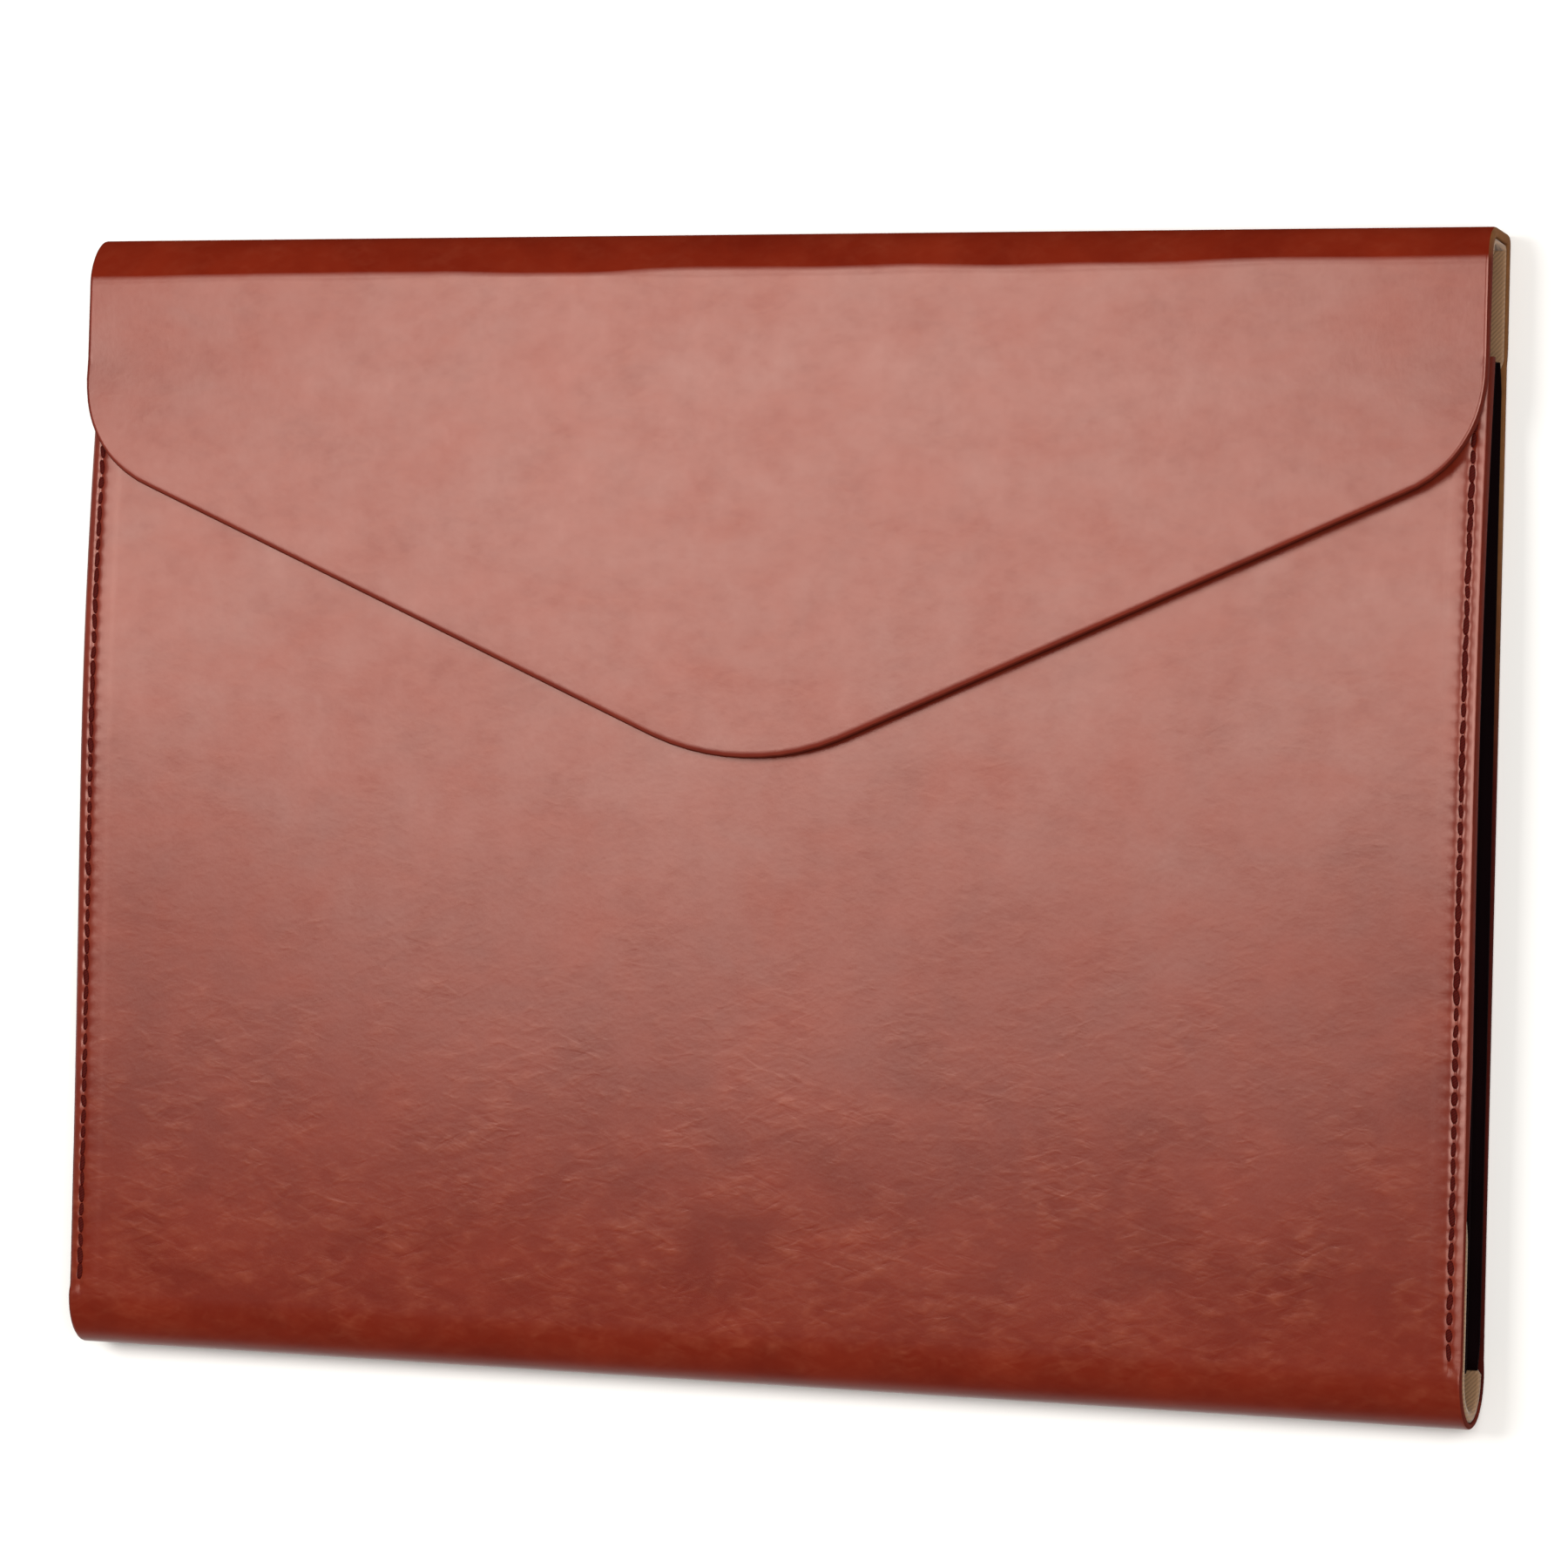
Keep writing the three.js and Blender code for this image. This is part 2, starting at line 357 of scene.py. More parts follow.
    def relief(self, x, run):
        """Height of the leather's surface over the smooth sheet."""
        bag = self.bag
        edge = self.half - np.abs(x)
        sewn = sum(
            ramp(run, start - SEAM_FADE, start) * (1 - ramp(run, end, end + SEAM_FADE))
            for start, end in self.seam_ends()
        )
        pulled = 0.5 + 0.5 * np.cos(2 * np.pi * run / bag.stitch_pitch)
        seam = (
            HEM_HEIGHT * (1 - ramp(edge, HEM_START, HEM_END))
            - GROOVE_DEPTH * bell(edge, bag.stitch_inset, GROOVE_HALF_WIDTH)
            - PULL_DEPTH * pulled * bell(edge, bag.stitch_inset, PULL_REACH)
            - ROLLED_DROP * np.clip(1 - edge / ROLLED_EDGE, 0, 1) ** ROLLED_CURVE
        )
        waves = sum(
            height * np.sin(2 * np.pi * (x / across + run / along) + phase)
            for across, along, phase, height in PANEL_WAVES
        )
        on_front = 1 - ramp(run, self.panel_run - WAVE_FADE, self.panel_run)
        on_flap = ramp(run, self.flap_run, self.flap_run + WAVE_FADE)
        bead = BEAD_HEIGHT * bell(run, self.flap_run + BEAD_DROP, BEAD_HALF_WIDTH)
        cut, out = self.flap_edge(x, 0)
        down = -out[..., 1]
        rim = (self.crease + self.flap_run - run - cut) * down
        slope = np.clip(1 - rim / BEVEL_WIDTH, 0, 1) ** BEVEL_CURVE
        bevel = BEVEL_DROP * ramp(down, BEVEL_START, BEVEL_FULL) * slope
        height = sewn * seam + (on_front + on_flap) * waves + bead - on_flap * bevel
        on_back = (run > self.panel_run) & (run < self.flap_run)
        return np.where(on_back, np.minimum(sewn * seam, 0), height)

    def leather(self, x, run):
        """Points on the leather's finished surface."""
        return self.skin(x, run) + self.normal(x, run) * self.relief(x, run)[..., None]

    def flap_edge(self, x, inset):
        """The flap's cut edge: its y at x, and its outward direction there, both drawn in by inset."""
        bag = self.bag
        side = np.abs(x)
        slant = bag.flap_slant
        tip = bag.flap_tip - inset
        corner = bag.flap_corner - inset
        tip_y = self.top - bag.flap_length + bag.flap_tip
        corner_x = self.half - bag.flap_corner
        step = bag.flap_tip - bag.flap_corner
        along = (corner_x - step * math.sin(slant)) / math.cos(slant)
        corner_y = tip_y + along * math.sin(slant) - step * math.cos(slant)
        tip_end = tip * math.sin(slant)
        corner_start = corner_x + corner * math.sin(slant)
        lean = np.select(
            [side < tip_end, side > corner_start],
            [np.arcsin(np.clip(side / tip, -1, 1)), np.arcsin(np.clip((side - corner_x) / corner, -1, 1))],
            slant,
        )
        y = np.select(
            [side < tip_end, side > corner_start],
            [tip_y - tip * np.cos(lean), corner_y - corner * np.cos(lean)],
            tip_y - tip * math.cos(slant) + (side - tip_end) * math.tan(slant),
        )
        return y, np.stack((np.sign(x) * np.sin(lean), -np.cos(lean)), axis=-1)

    def flap_drop(self, x, inset):
        """Length of the flap from its crease to its cut edge."""
        return self.crease - self.flap_edge(x, inset)[0]

    def cut_area(self, inset):
        """Area of the flat sheet."""
        x = np.linspace(inset - self.half, self.half - inset, AREA_SAMPLES)
        return (self.flap_run + np.mean(self.flap_drop(x, inset))) * 2 * (self.half - inset)


# Making of meshes


def edge_loop(rows, columns):
    """Row and column of each point round a grid's border: along the first row, down, back and up."""
    first = [(0, j) for j in range(columns)]
    right = [(i, columns - 1) for i in range(1, rows)]
    last = [(rows - 1, j) for j in range(columns - 2, -1, -1)]
    left = [(i, 0) for i in range(rows - 2, 0, -1)]
    return np.array(first + right + last + left)


def closed_sheet(outer, inner, rings):
    """Vertices and faces of a sheet closed between two skins by rings of points.

    Its inner skin and the cut edge beyond the first ring are marked as unfinished.
    """
    rows, columns = outer.shape[:2]
    count = rows * columns
    skin = np.arange(count).reshape(rows, columns)
    quads = np.stack((skin[:-1, :-1], skin[1:, :-1], skin[1:, 1:], skin[:-1, 1:]), axis=-1).reshape(-1, 4)
    loop = edge_loop(rows, columns)
    border = skin[loop[:, 0], loop[:, 1]]
    bands = [border]
    for k in range(len(rings)):
        bands.append(2 * count + k * len(loop) + np.arange(len(loop)))
    bands.append(border + count)
    faces = [quads, quads[:, ::-1] + count]
    for near, far in zip(bands, bands[1:]):
        faces.append(np.stack((near, np.roll(near, -1), np.roll(far, -1), far), axis=-1))
    points = np.concatenate([outer.reshape(-1, 3), inner.reshape(-1, 3), *rings])
    counts = (len(quads), len(quads), len(loop), len(rings) * len(loop))
    return points, np.concatenate(faces), np.repeat((False, True, False, True), counts)


def soft_rings(outer, inner, bulge):
    """One ring round a plain sheet's edge, half way between its skins and pushed out by bulge."""
    rows, columns = outer.shape[:2]
    middle = (outer + inner) / 2
    loop = edge_loop(rows, columns)
    inward = np.clip(loop, 1, [rows - 2, columns - 2])
    rim = middle[loop[:, 0], loop[:, 1]]
    out = rim - middle[inward[:, 0], inward[:, 1]]
    out /= np.linalg.norm(out, axis=1, keepdims=True)
    return [rim + bulge * out]


def add_piece(name, points, faces, materials, marks=None):
    """A smooth mesh object on the frame's body, with marked faces in its second material."""
    mesh = bpy.data.meshes.new(name)
    mesh.from_pydata(points.tolist(), [], [list(face) for face in faces])
    for material in materials:
        mesh.materials.append(material)
    mesh.polygons.foreach_set("use_smooth", np.ones(len(faces), dtype=bool))
    if marks is not None:
        mesh.polygons.foreach_set("material_index", marks.astype(np.int32))
    if mesh.validate():
        raise RuntimeError(f"{name} has faces that Blender refuses")
    piece = bpy.data.objects.new(name, mesh)
    bpy.context.scene.collection.objects.link(piece)
    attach(piece, "root")
    return piece


# Materials

# From one band of a wave texture to the next, where its scale is 1
WAVE_PERIOD = math.pi / 10


def node(tree, kind, links=None, **settings):
    """Adds a node: settings are its properties, links its inputs, each from a socket or as a plain value."""
    made = tree.nodes.new("ShaderNode" + kind)
    for name, value in settings.items():
        setattr(made, name, value)
    for socket, value in (links or {}).items():
        if isinstance(value, bpy.types.NodeSocket):
            tree.links.new(value, made.inputs[socket])
        else:
            made.inputs[socket].default_value = value
    return made


def new_material(name):
    """An empty material with its shader tree and object coordinates."""
    material = bpy.data.materials.new(name)
    material.use_nodes = True
    tree = material.node_tree
    tree.nodes.clear()
    return material, tree, node(tree, "TexCoord").outputs["Object"]


def vary(tree, base, pattern, low, high):
    """A colour whose brightness goes from low to high times its own along a pattern."""
    shade = node(tree, "MapRange", {"Value": pattern, "To Min": low, "To Max": high})
    varied = node(tree, "HueSaturation", {"Color": base, "Value": shade.outputs["Result"]})
    return varied.outputs["Color"]


def pull_up_leather(sheet):
    """Waxed pull-up leather, dyed through, pressed and glazed.

    The wax moves under the hand, so the dye lies in soft streaks across the bag, and soft creases pale and
    rise in patches; their paler colour is partly a painted highlight of light glinting on the creases.
    The glaze gives the pressed panels a broad warm haze that the worked folds lack.
    """
    streak_size, grain_size, patch_size = (26 * MM, 17 * MM), 1.1 * MM, 17 * MM
    crease_long, crease_wide, crease_leans = 8 * MM, 2.4 * MM, (math.radians(18), math.radians(-13))
    crease_shine, crease_rise, wander_size, wander_height = 1.5, 0.15 * MM, 45 * MM, 2.5 * MM
    panel_shine, foot_shine, crease_fade, foot_fade = 0.7, 0.15, 1.2 * MM, 70 * MM
    tint = colours()
    material, tree, place = new_material("glazed_pull_up_leather")
    drawn = node(tree, "Mapping", {
        "Vector": place, "Scale": (1 / streak_size[0], 1 / streak_size[1], 1 / streak_size[1])})
    streaks = node(tree, "TexNoise", {
        "Vector": drawn.outputs["Vector"], "Scale": 1.0, "Detail": 4.0, "Roughness": 0.6, "Distortion": 0.3})
    tone = node(tree, "MapRange", {
        "Value": streaks.outputs["Fac"], "From Min": 0.28, "From Max": 0.72})
    dye = node(tree, "Mix", {
        "Factor": tone.outputs["Result"], "A": tint.leather_deep, "B": tint.leather_light}, data_type="RGBA")
    where = node(tree, "SeparateXYZ", {"Vector": place})
    height = where.outputs["Y"]
    handled = node(tree, "MapRange", {
        "Value": height, "From Min": -0.2 * sheet.top, "From Max": -0.7 * sheet.top, "To Min": 0.04,
        "To Max": 0.14})
    above_fold = node(tree, "MapRange", {
        "Value": height, "From Min": -sheet.top, "From Max": sheet.bottom_fold,
        "To Max": handled.outputs["Result"]})
    patches = node(tree, "TexNoise", {
        "Vector": place, "Scale": 1 / patch_size, "Detail": 4.0, "Roughness": 0.8})
    bent = node(tree, "MapRange", {
        "Value": patches.outputs["Fac"], "From Min": 0.38, "From Max": 0.7,
        "To Max": above_fold.outputs["Result"]})
    dye_with_creases_and_glints, burnish = dye, 1.0
    for lean in crease_leans:
        turned = node(tree, "Mapping", {
            "Vector": place, "Rotation": (0, 0, lean), "Scale": (crease_long, crease_wide, 1)},
            vector_type="TEXTURE")
        folds = node(tree, "TexNoise", {
            "Vector": turned.outputs["Vector"], "Scale": 1.0, "Detail": 2.0, "Roughness": 0.5,
            "Distortion": 0.8})
        # Paler creases: partly the pull-up leather paling, partly a painted highlight standing in for glints
        # of light
        paling_and_glint = node(tree, "MapRange", {
            "Value": folds.outputs["Fac"], "From Min": 0.4, "From Max": 0.75,
            "To Max": bent.outputs["Result"]})
        dye_with_creases_and_glints = node(tree, "Mix", {
            "Factor": paling_and_glint.outputs["Result"], "A": dye_with_creases_and_glints.outputs["Result"], "B": tint.crease_paling_and_glint},
            data_type="RGBA")
        worked = node(tree, "Math", {
            0: paling_and_glint.outputs["Result"], 1: crease_shine, 2: burnish}, operation="MULTIPLY_ADD")
        burnish = worked.outputs["Value"]
    gloss = node(tree, "MapRange", {
        "Value": streaks.outputs["Fac"], "From Min": 0.3, "From Max": 0.7, "To Min": 0.285, "To Max": 0.335})
    level = node(tree, "Math", {
        0: where.outputs["X"], 1: -CREASE_TILT / sheet.bag.width, 2: height}, operation="MULTIPLY_ADD")
    wander = node(tree, "TexNoise", {"Vector": place, "Scale": 1 / wander_size, "Detail": 1.0})
    border = node(tree, "Math", {
        0: wander.outputs["Fac"], 1: wander_height, 2: level.outputs["Value"]}, operation="MULTIPLY_ADD")
    crease = sheet.crease - CREASE_TILT / 2 + wander_height / 2
    below_crease = node(tree, "MapRange", {
        "Value": border.outputs["Value"], "From Min": crease + crease_fade, "From Max": crease,
        "To Max": panel_shine})
    glaze = node(tree, "MapRange", {
        "Value": height, "From Min": -sheet.top, "From Max": foot_fade - sheet.top,
        "To Min": foot_shine, "To Max": below_crease.outputs["Result"]})
    rubbed = node(tree, "MapRange", {
        "Value": patches.outputs["Fac"], "From Min": 0.3, "From Max": 0.7, "To Min": 1.14, "To Max": 0.82})
    shine = node(tree, "Math", {
        0: glaze.outputs["Result"], 1: rubbed.outputs["Result"]}, operation="MULTIPLY")
    polish = node(tree, "Math", {0: shine.outputs["Value"], 1: burnish}, operation="MULTIPLY")
    grain = node(tree, "TexNoise", {"Vector": place, "Scale": 1 / grain_size, "Detail": 1.0})
    pebble = node(tree, "Bump", {
        "Height": grain.outputs["Fac"], "Strength": 0.3, "Distance": 0.04 * MM})
    raised = node(tree, "Bump", {
        "Height": burnish, "Strength": 1.0, "Distance": crease_rise, "Normal": pebble.outputs["Normal"]})
    shader = node(tree, "BsdfPrincipled", {
        "Base Color": dye_with_creases_and_glints.outputs["Result"], "Roughness": gloss.outputs["Result"],
        "Specular IOR Level": polish.outputs["Value"], "Specular Tint": tint.glaze,
        "Normal": raised.outputs["Normal"]})
    node(tree, "OutputMaterial", {"Surface": shader.outputs["BSDF"]})
    return material


def painted_edge(sheet):
    """Edge paint on cut leather, brushed on thin and left to dry: dark red, matt and a little uneven.

    It is darker on the back's cut edges, which lie next to the floor. It has rubbed off to the bare brown
    fibre along the upper sides of the back, which the bag lies on, and at the ends of the top fold.
    """
    brush_size, back_depth, bare_start, bare_end = 2.4 * MM, 2.4 * MM, 10 * MM, 70 * MM
    tint = colours()
    material, tree, place = new_material("brushed_edge_paint")
    where = node(tree, "SeparateXYZ", {"Vector": place})
    low = node(tree, "Math", {0: where.outputs["Z"], 1: back_depth}, operation="LESS_THAN")
    worn = node(tree, "MapRange", {
        "Value": where.outputs["Y"], "From Min": bare_start, "From Max": bare_end,
        "To Max": low.outputs["Value"]})
    worn_fold = node(tree, "MapRange", {
        "Value": where.outputs["Y"], "From Min": sheet.crease, "From Max": sheet.top - back_depth})
    bare = node(tree, "Math", {
        0: worn.outputs["Result"], 1: worn_fold.outputs["Result"]}, operation="MAXIMUM")
    # Darker on the back's cut edges, below back_depth and next to the floor
    edge_tone = node(tree, "Mix", {
        "Factor": low.outputs["Value"], "A": tint.edge_paint, "B": tint.darker_back_edge}, data_type="RGBA")
    edge = node(tree, "Mix", {
        "Factor": bare.outputs["Value"], "A": edge_tone.outputs["Result"], "B": tint.bare_edge},
        data_type="RGBA")
    streaks = node(tree, "TexNoise", {"Vector": place, "Scale": 1 / brush_size, "Detail": 3.0})
    paint = vary(tree, edge.outputs["Result"], streaks.outputs["Fac"], 0.75, 1.25)
    shader = node(tree, "BsdfPrincipled", {
        "Base Color": paint, "Roughness": 0.8, "Specular IOR Level": 0.06})
    node(tree, "OutputMaterial", {"Surface": shader.outputs["BSDF"]})
    return material


def lining_twill():
    """Cotton lining, twill woven and dyed khaki: matt, with fine slanting ribs and slubs in its colour."""
    rib_size, rib_lean, slub_size = 0.7 * MM, math.radians(45), 6 * MM
    material, tree, place = new_material("woven_cotton_lining")
    turned = node(tree, "Mapping", {"Vector": place, "Rotation": (0, 0, rib_lean)})
    ribs = node(tree, "TexWave", {
        "Vector": turned.outputs["Vector"], "Scale": WAVE_PERIOD / rib_size, "Distortion": 1.2,
        "Detail": 2.0, "Detail Scale": 2.0}, wave_type="BANDS")
    slubs = node(tree, "TexNoise", {"Vector": place, "Scale": 1 / slub_size, "Detail": 5.0})
    mixed = node(tree, "Math", {
        0: ribs.outputs["Fac"], 1: slubs.outputs["Fac"]}, operation="MULTIPLY")
    cloth = vary(tree, colours().lining, mixed.outputs["Value"], 0.78, 1.3)
    weave = node(tree, "Bump", {
        "Height": ribs.outputs["Fac"], "Strength": 0.5, "Distance": 0.15 * MM})
    shader = node(tree, "BsdfPrincipled", {
        "Base Color": cloth, "Normal": weave.outputs["Normal"], "Roughness": 0.88, "Sheen Weight": 0.15})
    node(tree, "OutputMaterial", {"Surface": shader.outputs["BSDF"]})
    return material


def coated_cloth():
    """Gusset cloth, plain woven and coated black: nearly matt, with the weave just showing through."""
    thread_size, dust_size = 0.8 * MM, 9 * MM
    material, tree, place = new_material("black_coated_cloth")
    weave = node(tree, "TexVoronoi", {
        "Vector": place, "Scale": 1 / thread_size, "Randomness": 0.25}, distance="CHEBYCHEV")
    dust = node(tree, "TexNoise", {"Vector": place, "Scale": 1 / dust_size, "Detail": 4.0})
    cloth = vary(tree, colours().gusset, dust.outputs["Fac"], 0.7, 1.4)
    surface = node(tree, "Bump", {
        "Height": weave.outputs["Distance"], "Strength": 0.35, "Distance": 0.12 * MM})
    shader = node(tree, "BsdfPrincipled", {
        "Base Color": cloth, "Normal": surface.outputs["Normal"], "Roughness": 0.75,
        "Specular IOR Level": 0.02})
    node(tree, "OutputMaterial", {"Surface": shader.outputs["BSDF"]})
    return material


def twisted_thread():
    """Polyester sewing thread, twisted and waxed: dark, with a fine slanting twist and a soft shine."""
    twist_size, twist_lean = 0.5 * MM, math.radians(55)
    material, tree, place = new_material("twisted_polyester_thread")
    turned = node(tree, "Mapping", {"Vector": place, "Rotation": (0, 0, twist_lean)})
    plies = node(tree, "TexWave", {
        "Vector": turned.outputs["Vector"], "Scale": WAVE_PERIOD / twist_size}, wave_type="BANDS")
    yarn = vary(tree, colours().thread, plies.outputs["Fac"], 0.6, 1.2)
    twist = node(tree, "Bump", {
        "Height": plies.outputs["Fac"], "Strength": 0.4, "Distance": 0.1 * MM})
    shader = node(tree, "BsdfPrincipled", {
        "Base Color": yarn, "Normal": twist.outputs["Normal"], "Roughness": 0.65,
        "Specular IOR Level": 0.06})
    node(tree, "OutputMaterial", {"Surface": shader.outputs["BSDF"]})
    return material


def painted_floor():
    """Studio floor, rolled with matt white paint: pale and even, with a faint roller texture."""
    roller_size = 1.5 * MM
    material, tree, place = new_material("matt_white_floor_paint")
    stipple = node(tree, "TexNoise", {"Vector": place, "Scale": 1 / roller_size, "Detail": 2.0})
    texture = node(tree, "Bump", {
        "Height": stipple.outputs["Fac"], "Strength": 0.05, "Distance": 0.05 * MM})
    shader = node(tree, "BsdfPrincipled", {
        "Base Color": colours().floor, "Normal": texture.outputs["Normal"], "Roughness": 0.9})
    node(tree, "OutputMaterial", {"Surface": shader.outputs["BSDF"]})
    return material


# Pieces


class ENVELOPEBAG_OT_leather(bpy.types.Operator):
    """Folds the leather sheet into front, bottom, back, top and flap, with seam grooves and painted edges"""
    bl_idname = "envelope_bag.leather"
    bl_label = "Leather"

    # Columns of the mesh: distances in from a side edge, then steps to the middle
    EDGE_COLUMNS = (0.7, 0.9, 1.3, 1.8, 2.2, 2.5, 2.8, 3.1, 3.5, 4.0, 4.7, 5.6, 6.5, 7.0, 7.4, 7.8, 8.4, 9.6,
                    11.5, 14.5, 18.5, 23.5, 29.0, 35.0)
    TIP_HALF = 26 * MM
    TIP_COLUMNS = 6
    SLANT_COLUMNS = 12

    def columns(self, sheet):
        """Places across the sheet, closest together at the sewn side edges."""
        near_edge = sheet.half - np.array(self.EDGE_COLUMNS) * MM
        tip = np.linspace(0, self.TIP_HALF, self.TIP_COLUMNS, endpoint=False)
        slant = np.linspace(self.TIP_HALF, near_edge[-1], self.SLANT_COLUMNS, endpoint=False)
        right = np.concatenate((tip, slant, near_edge[::-1]))
        return np.concatenate((-right[:0:-1], right))

    def rows(self, sheet):
        """Runs of the rows above the flap: a few for each stitch of both panels, and those of the folds."""
        pitch = sheet.bag.stitch_pitch
        front_row, back_row = pitch / ROWS_PER_STITCH, pitch / BACK_ROWS_PER_STITCH
        front = np.arange(2 * front_row, sheet.panel_run - front_row / 2, front_row)
        back_start, back_end = sheet.fold_runs[ARC_ROWS:ARC_ROWS + 2]
        back = np.arange(0, back_end - back_row / 2, back_row)
        back = back[back > back_start + back_row / 2]
        return np.sort(np.concatenate(([LEATHER_ROUND], front, sheet.fold_runs, back)))

    def grid(self, sheet):
        """Places across and runs along the sheet of every point of the mesh."""
        across = self.columns(sheet)
        drop = sheet.flap_drop(across, LEATHER_ROUND)
        near = CREASE_ROWS[-1]
        shares = np.linspace(0, 1, FLAP_ROWS + 1)[1:, None]
        runs = np.concatenate((
            np.repeat(self.rows(sheet)[:, None], len(across), axis=1),
            np.repeat(sheet.flap_run + np.array(CREASE_ROWS)[:, None], len(across), axis=1),
            sheet.flap_run + near + shares * (drop - RIM_ROWS[0] - near),
            sheet.flap_run + drop - np.array((*RIM_ROWS[1:], 0))[:, None],
        ))
        return np.broadcast_to(across, runs.shape), runs

    def rings(self, sheet, across, runs):
        """Points round the cut edge, which is well rounded above and a little below."""
        rows, columns = runs.shape
        loop = edge_loop(rows, columns)
        x = across[loop[:, 0], loop[:, 1]]
        run = runs[loop[:, 0], loop[:, 1]]
        out_x = np.select([loop[:, 1] == 0, loop[:, 1] == columns - 1], [-1.0, 1.0], 0.0)
        out_run = np.where(loop[:, 0] == 0, -1.0, 0.0)
        on_flap = loop[:, 0] == rows - 1
        lean = sheet.flap_edge(x, LEATHER_ROUND)[1]
        out_x = np.where(on_flap, lean[:, 0], out_x)
        out_run = np.where(on_flap, -lean[:, 1], out_run)
        wall = sheet.leather_wall(x, run)
        turns = [(math.sin(a), 1 - math.cos(a)) for a in map(math.radians, EDGE_ANGLES)]
        sides = [(LEATHER_ROUND * reach, LEATHER_ROUND * drop / wall) for reach, drop in turns]
        for reach, drop in reversed(turns):
            sides.append((LEATHER_ROUND - UNDER_ROUND * (1 - reach), 1 - UNDER_ROUND * drop / wall))
        rings = []
        for reach, share in sides:
            ring_x = x + reach * out_x
            ring_run = run + reach * out_run
            upper = sheet.leather(ring_x, ring_run)
            lower = sheet.layer(ring_x, ring_run, wall)
            rings.append(upper * (1 - share[:, None]) + lower * share[:, None])
        return rings

    def execute(self, context):
        sheet = FoldedSheet(sizes())
        across, runs = self.grid(sheet)
        outer = sheet.leather(across, runs)
        inner = sheet.layer(across, runs, sheet.leather_wall(across, runs))
        points, faces, marks = closed_sheet(outer, inner, self.rings(sheet, across, runs))
        materials = [pull_up_leather(sheet), painted_edge(sheet)]
        piece = add_piece("folded_leather", points, faces, materials, marks)
        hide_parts("leather_wrap")
        flat = (sheet.bag.width, sheet.flap_run + sheet.flap_drop(0, 0))
        sheet.cut_area(0)
        return {"FINISHED"}


class ENVELOPEBAG_OT_lining(bpy.types.Operator):
    """Bonds the khaki lining inside the leather"""
    bl_idname = "envelope_bag.lining"
    bl_label = "Lining"

    COLUMNS = 48
    ROW = 3 * MM
    MOUTH_INSET = 0.3 * MM
    TURNED_INSET = 4.2 * MM
    FOLD_INSET = 0.3 * MM
    BACK_INSET = 3.6 * MM
    FLAP_INSET = 1.2 * MM
    EDGE_BULGE = 0.25 * MM
    STEP = 3 * MM

    def inset(self, sheet, runs):
        """How far the lining stops short of the leather's side edges, along its length."""
        foot, head = (sheet.back_run - sheet.bottom_fold + y for y in sheet.gusset_ends())
        places = (
            (TURN_END * sheet.panel_run, self.TURNED_INSET),
            (PARE_START * sheet.panel_run, self.FOLD_INSET),
            (foot, self.FOLD_INSET),
            (foot + self.STEP, self.BACK_INSET),
            (head - self.STEP, self.BACK_INSET),
            (head, self.FOLD_INSET),
            (sheet.flap_run - self.STEP, self.FOLD_INSET),
            (sheet.flap_run, self.FLAP_INSET),
        )
        return np.interp(runs, *zip(*places))

    def grid(self, sheet):
        """Places across and runs along the lining of every point of its mesh."""
        shares = np.sin(np.linspace(-math.pi / 2, math.pi / 2, self.COLUMNS + 1))
        front = np.arange(self.MOUTH_INSET, sheet.panel_run - self.ROW / 2, self.ROW)
        back_end = sheet.fold_runs[ARC_ROWS + 1]
        back = np.arange(sheet.back_run + self.ROW, back_end - self.ROW / 2, self.ROW)
        main = np.sort(np.concatenate((front, sheet.fold_runs[::2], back)))
        half = sheet.half - self.inset(sheet, main)
        flap_across = shares * (sheet.half - self.FLAP_INSET)
        drop = sheet.flap_drop(flap_across, self.FLAP_INSET)
        parts = np.linspace(0, 1, FLAP_ROWS + 1)[1:, None]
        across = np.concatenate((half[:, None] * shares, np.repeat(flap_across[None], FLAP_ROWS, axis=0)))
        runs = np.concatenate((
            np.repeat(main[:, None], len(shares), axis=1), sheet.flap_run + parts * drop))
        return across, runs

    def execute(self, context):
        sheet = FoldedSheet(sizes())
        bag = sheet.bag
        across, runs = self.grid(sheet)
        outer = sheet.layer(across, runs, sheet.leather_wall(across, runs) + bag.layer_gap)
        inner = sheet.skin(across, runs, sheet.lined_wall)
        points, faces, _ = closed_sheet(outer, inner, soft_rings(outer, inner, self.EDGE_BULGE))
        piece = add_piece("lining_cloth", points, faces, [lining_twill()])
        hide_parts("lining")
        flat = (bag.width, sheet.flap_run + sheet.flap_drop(0, self.FLAP_INSET))
        area = sheet.cut_area(self.FLAP_INSET)
        return {"FINISHED"}


